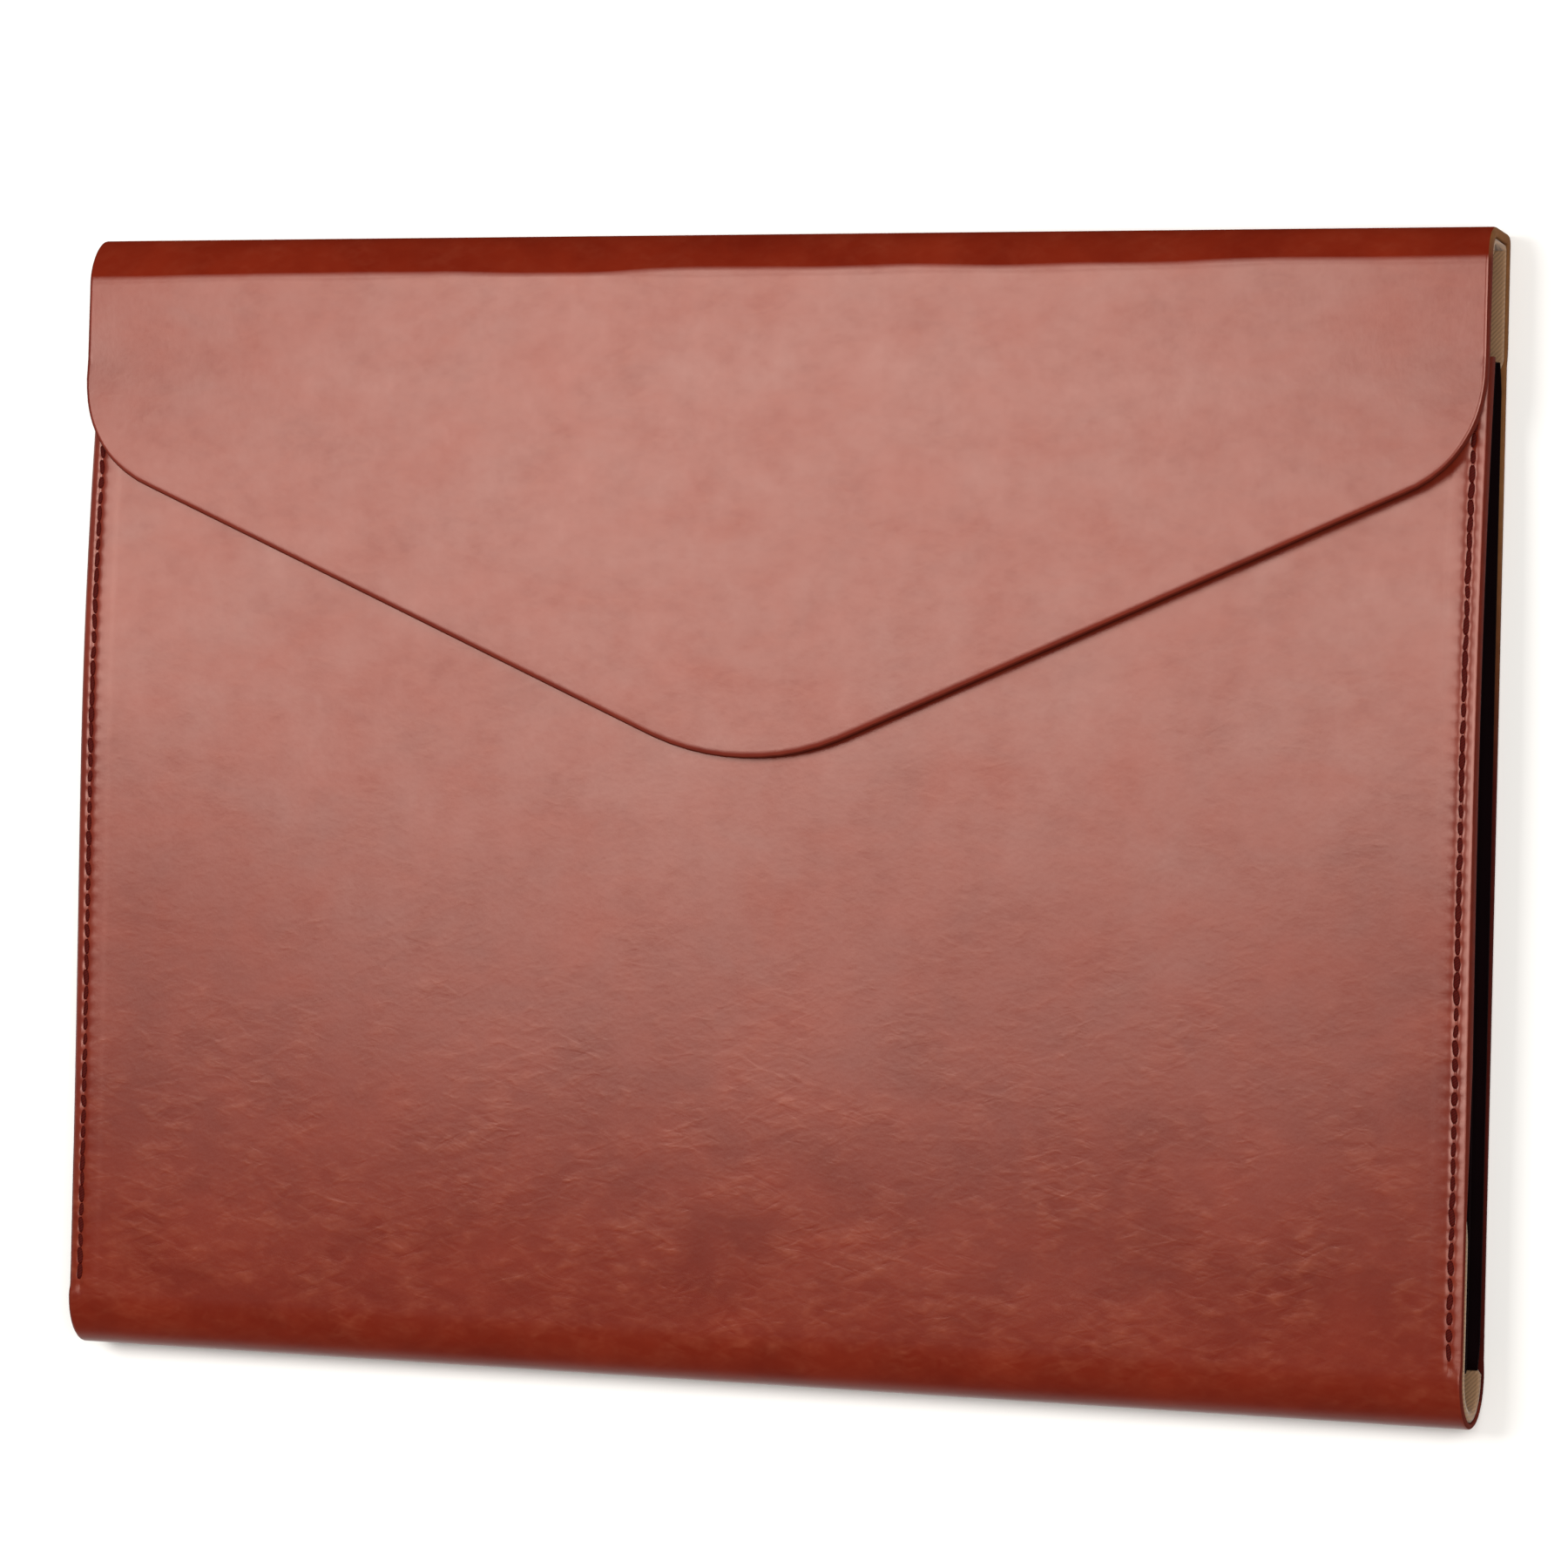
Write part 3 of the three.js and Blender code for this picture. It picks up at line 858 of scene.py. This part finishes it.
class ENVELOPEBAG_OT_gussets(bpy.types.Operator):
    """Pleats the two black gussets that join the front panel to the back"""
    bl_idname = "envelope_bag.gussets"
    bl_label = "Gussets"

    ROW = 3 * MM
    EDGE_INSET = 0.3 * MM
    BACK_MARGIN = 2.8 * MM
    BARE_MARGIN = 0.2 * MM
    BARE_REACH = 50 * MM
    END_LIFT = 6 * MM
    KNEE_RADIUS = 1.4 * MM
    FOLD_RADIUS = 1.0 * MM
    BEND_STEPS = 7
    FLANGE_STEPS = 3
    EDGE_BULGE = 0.2 * MM
    PLEAT_WAVE = 0.5 * MM
    PLEAT_WAVE_SPAN = 71 * MM

    def bend(self, before, corner, after, radius):
        """Points of a round bend of the middle line at a corner."""
        to_before = (before - corner) / np.linalg.norm(before - corner)
        to_after = (after - corner) / np.linalg.norm(after - corner)
        half = math.acos(np.clip(np.dot(to_before, to_after), -1, 1)) / 2
        middle = (to_before + to_after) / np.linalg.norm(to_before + to_after)
        centre = corner + middle * radius / math.sin(half)
        start = corner + to_before * radius / math.tan(half) - centre
        end = corner + to_after * radius / math.tan(half) - centre
        sweep = math.atan2(start[0] * end[1] - start[1] * end[0], np.dot(start, end))
        turns = np.linspace(0, sweep, self.BEND_STEPS + 1)
        return np.stack((
            centre[0] + start[0] * np.cos(turns) - start[1] * np.sin(turns),
            centre[1] + start[0] * np.sin(turns) + start[1] * np.cos(turns),
        ), axis=-1)

    def section(self, sheet, y):
        """Middle line of the right gusset in (x, z) at a height of the bag.

        It is pressed onto the back's margin between its ends, and leaves more of that bare higher up.
        """
        bag = sheet.bag
        foot, head = sheet.gusset_ends()
        wave = self.PLEAT_WAVE * math.sin(2 * math.pi * y / self.PLEAT_WAVE_SPAN)
        edge = sheet.half - self.EDGE_INSET
        back_edge = edge - self.BARE_MARGIN * ramp(y, -self.BARE_REACH, self.BARE_REACH)
        knee = edge - bag.gusset_flange
        fold = knee - bag.gusset_pleat + wave
        back = sheet.lined_wall + bag.layer_gap + bag.gusset_wall / 2
        margin = back - bag.lining_wall * ramp(min(head - y, y - foot), 0, self.END_LIFT)
        front_edge = float(sheet.panel_depth(edge, y)) - back
        front_knee = float(sheet.panel_depth(knee, y)) - back
        line = np.array((
            (edge - self.BACK_MARGIN, back), (knee, back), (fold, (back + front_knee + wave) / 2),
            (knee, front_knee), (edge, front_edge),
        ))
        flange = np.linspace(0, 1, self.FLANGE_STEPS, endpoint=False)[:, None]
        bends = [
            self.bend(line[0], line[1], line[2], self.KNEE_RADIUS),
            self.bend(line[1], line[2], line[3], self.FOLD_RADIUS),
            self.bend(line[2], line[3], line[4], self.KNEE_RADIUS),
        ]
        first = line[0] + flange * (bends[0][0] - line[0])
        last = bends[2][-1] + (1 - flange[::-1]) * (line[4] - bends[2][-1])
        return np.concatenate(([(back_edge, margin)], first, *bends, last))

    def skins(self, sheet):
        """The two skins of the right gusset, from its head to its foot."""
        foot, head = sheet.gusset_ends()
        heights = np.linspace(head, foot, round((head - foot) / self.ROW) + 1)
        outer, inner = [], []
        for y in heights:
            line = self.section(sheet, y)
            along = np.gradient(line, axis=0)
            along /= np.linalg.norm(along, axis=1, keepdims=True)
            out = np.stack((along[:, 1], -along[:, 0]), axis=-1) * sheet.bag.gusset_wall / 2
            for skin, shift in ((outer, out), (inner, -out)):
                place = line + shift
                skin.append(np.stack((place[:, 0], np.full(len(place), y), place[:, 1]), axis=-1))
        return np.array(outer), np.array(inner)

    def execute(self, context):
        sheet = FoldedSheet(sizes())
        cloth = coated_cloth()
        outer, inner = self.skins(sheet)
        width = np.linalg.norm(np.diff(self.section(sheet, 0.0), axis=0), axis=1).sum()
        points, faces, _ = closed_sheet(outer, inner, soft_rings(outer, inner, self.EDGE_BULGE))
        for side, name in ((1, "right"), (-1, "left")):
            turned = faces[:, ::-1] if side > 0 else faces
            piece = add_piece(f"pleated_gusset_{name}", points * (side, 1, 1), turned, [cloth])
            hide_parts(f"gusset_{name}")
        return {"FINISHED"}


class ENVELOPEBAG_OT_stitches(bpy.types.Operator):
    """Sews a row of stitches down each side of the front panel and of the back"""
    bl_idname = "envelope_bag.stitches"
    bl_label = "Stitches"

    SIDES = 8
    STEPS = 8
    FRONT_RISE = 0.12 * MM
    BACK_RISE = -0.4 * MM
    SINK = 0.12 * MM
    SKEW = 0.25 * MM
    FLATNESS = 0.6
    END_WIDTH = 0.5
    TAPER = 3
    UNEVEN = 0.2

    def stitch(self, sheet, side, run, rise, draw):
        """One uneven stitch, pressed flat: a tube along the seam that narrows towards its two holes."""
        bag = sheet.bag
        shares = np.linspace(-1, 1, self.STEPS + 1)
        size, thick = (1 + draw.uniform(-self.UNEVEN, self.UNEVEN) for _ in range(2))
        runs = run + shares * bag.stitch_length * size / 2
        x = side * (sheet.half - bag.stitch_inset) + draw.uniform(-self.SKEW, self.SKEW) * shares
        out = sheet.normal(x, runs)
        lift = rise - (rise + self.SINK) * np.abs(shares) ** 2
        centre = sheet.leather(x, runs) + out * lift[:, None]
        radius = bag.thread_width * thick / 2 * (1 - (1 - self.END_WIDTH) * np.abs(shares) ** self.TAPER)
        turns = np.linspace(0, 2 * math.pi, self.SIDES, endpoint=False)
        across = np.cos(turns)[None, :, None] * np.array((1.0, 0.0, 0.0))
        upward = np.sin(turns)[None, :, None] * out[:, None, :] * self.FLATNESS
        return (centre[:, None, :] + radius[:, None, None] * (across + upward)).reshape(-1, 3)

    def tube_faces(self):
        """Faces of one stitch, closed at both ends."""
        rings = np.arange((self.STEPS + 1) * self.SIDES).reshape(self.STEPS + 1, self.SIDES)
        near, far = rings[:-1], rings[1:]
        walls = np.stack((near, np.roll(near, -1, axis=1), np.roll(far, -1, axis=1), far), axis=-1)
        return walls.reshape(-1, 4).tolist() + [rings[0][::-1].tolist(), rings[-1].tolist()]

    def execute(self, context):
        sheet = FoldedSheet(sizes())
        thread = twisted_thread()
        draw = random.Random(SEED)
        tube = self.tube_faces()
        rises = {"front": self.FRONT_RISE, "back": self.BACK_RISE}
        for ends, (name, rise) in zip(sheet.seam_ends(), rises.items()):
            points, faces = [], []
            for side in (-1, 1):
                for run in sheet.stitch_runs(*ends):
                    first = len(points) * (self.STEPS + 1) * self.SIDES
                    points.append(self.stitch(sheet, side, run, rise, draw))
                    faces.extend([[first + corner for corner in face] for face in tube])
            add_piece(f"side_stitches_{name}", np.concatenate(points), faces, [thread])
        return {"FINISHED"}


class ENVELOPEBAG_OT_stage(bpy.types.Operator):
    """Sets up the pale floor, the soft light and the camera"""
    bl_idname = "envelope_bag.stage"
    bl_label = "Studio"

    FLOOR_HALF = 3.0
    FLOOR_GAP = 0.1 * MM
    SOFTBOX_SIZE = (0.61, 0.40)
    SOFTBOX_PLACE = Vector((-0.36, 0.173, 0.80))
    SOFTBOX_POWER = 6.0
    FILL_SIZE = (0.85, 1.1)
    FILL_PLACE = Vector((0.85, 0.1, 1.4))
    FILL_POWER = 23.0
    AMBIENT = 0.25

    def floor(self):
        """One large pale plane under the bag."""
        half = self.FLOOR_HALF
        mesh = bpy.data.meshes.new("studio_floor")
        corners = [(-half, -half), (half, -half), (half, half), (-half, half)]
        mesh.from_pydata([(x, y, -self.FLOOR_GAP) for x, y in corners], [], [(0, 1, 2, 3)])
        mesh.materials.append(painted_floor())
        plane = bpy.data.objects.new("studio_floor", mesh)
        bpy.context.scene.collection.objects.link(plane)

    def panel_light(self, name, size, place, aim, power):
        """A rectangular light panel that faces a point."""
        lamp = bpy.data.lights.new(name, "AREA")
        lamp.shape = "RECTANGLE"
        lamp.size, lamp.size_y = size
        lamp.energy = power
        lamp.color = colours().light[:3]
        panel = bpy.data.objects.new(name, lamp)
        panel.location = place
        panel.rotation_euler = (aim - place).to_track_quat("-Z", "Y").to_euler()
        bpy.context.scene.collection.objects.link(panel)

    def lights(self):
        """A softbox whose haze fades towards the bag's foot, a fill from the right and an even pale room."""
        below = self.SOFTBOX_PLACE * Vector((1, 1, 0))
        self.panel_light("softbox", self.SOFTBOX_SIZE, self.SOFTBOX_PLACE, below, self.SOFTBOX_POWER)
        self.panel_light("fill", self.FILL_SIZE, self.FILL_PLACE, Vector(), self.FILL_POWER)
        room = bpy.data.worlds.new("pale_room")
        room.use_nodes = True
        sky = room.node_tree.nodes["Background"]
        sky.inputs["Color"].default_value = colours().light
        sky.inputs["Strength"].default_value = self.AMBIENT
        bpy.context.scene.world = room

    def camera(self):
        """The photograph's viewpoint: above the lying bag and to its right."""
        turn = (
            Matrix.Rotation(CAMERA_AZIMUTH, 4, "Y")
            @ Matrix.Rotation(-CAMERA_PITCH, 4, "X")
            @ Matrix.Rotation(CAMERA_ROLL, 4, "Z")
        )
        data = bpy.data.cameras.new("camera")
        data.sensor_width = CAMERA_SENSOR
        data.lens = CAMERA_LENS
        camera = bpy.data.objects.new("camera", data)
        away = turn.to_3x3() @ Vector((0, 0, CAMERA_DISTANCE))
        camera.matrix_world = Matrix.Translation(CAMERA_AIM + away) @ turn
        bpy.context.scene.collection.objects.link(camera)
        bpy.context.scene.camera = camera

    def execute(self, context):
        self.floor()
        self.lights()
        self.camera()
        context.scene.view_settings.view_transform = "Standard"
        return {"FINISHED"}


class ENVELOPEBAG_PT_sidebar(bpy.types.Panel):
    """Lists the bag's pieces, sizes and colours"""
    bl_label = "Document envelope bag"
    bl_idname = "ENVELOPEBAG_PT_sidebar"
    bl_space_type = "VIEW_3D"
    bl_region_type = "UI"
    bl_category = "Envelope Bag"

    def draw(self, context):
        for operator in OPERATORS:
            self.layout.operator(operator.bl_idname)
        for group in (context.scene.envelope_bag_sizes, context.scene.envelope_bag_colours):
            column = self.layout.column()
            for name in type(group).__annotations__:
                column.prop(group, name)


OPERATORS = (
    ENVELOPEBAG_OT_leather,
    ENVELOPEBAG_OT_lining,
    ENVELOPEBAG_OT_gussets,
    ENVELOPEBAG_OT_stitches,
    ENVELOPEBAG_OT_stage,
)
CLASSES = (EnvelopeBagSizes, EnvelopeBagColours, *OPERATORS, ENVELOPEBAG_PT_sidebar)


def register():
    for cls in CLASSES:
        bpy.utils.register_class(cls)
    bpy.types.Scene.envelope_bag_sizes = PointerProperty(type=EnvelopeBagSizes)
    bpy.types.Scene.envelope_bag_colours = PointerProperty(type=EnvelopeBagColours)


def unregister():
    del bpy.types.Scene.envelope_bag_colours
    del bpy.types.Scene.envelope_bag_sizes
    for cls in reversed(CLASSES):
        bpy.utils.unregister_class(cls)


def main():
    register()
    bpy.ops.envelope_bag.stage()
    bpy.ops.envelope_bag.leather()
    bpy.ops.envelope_bag.lining()
    bpy.ops.envelope_bag.gussets()
    bpy.ops.envelope_bag.stitches()
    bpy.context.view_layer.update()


if __name__ == "__main__":
    main()
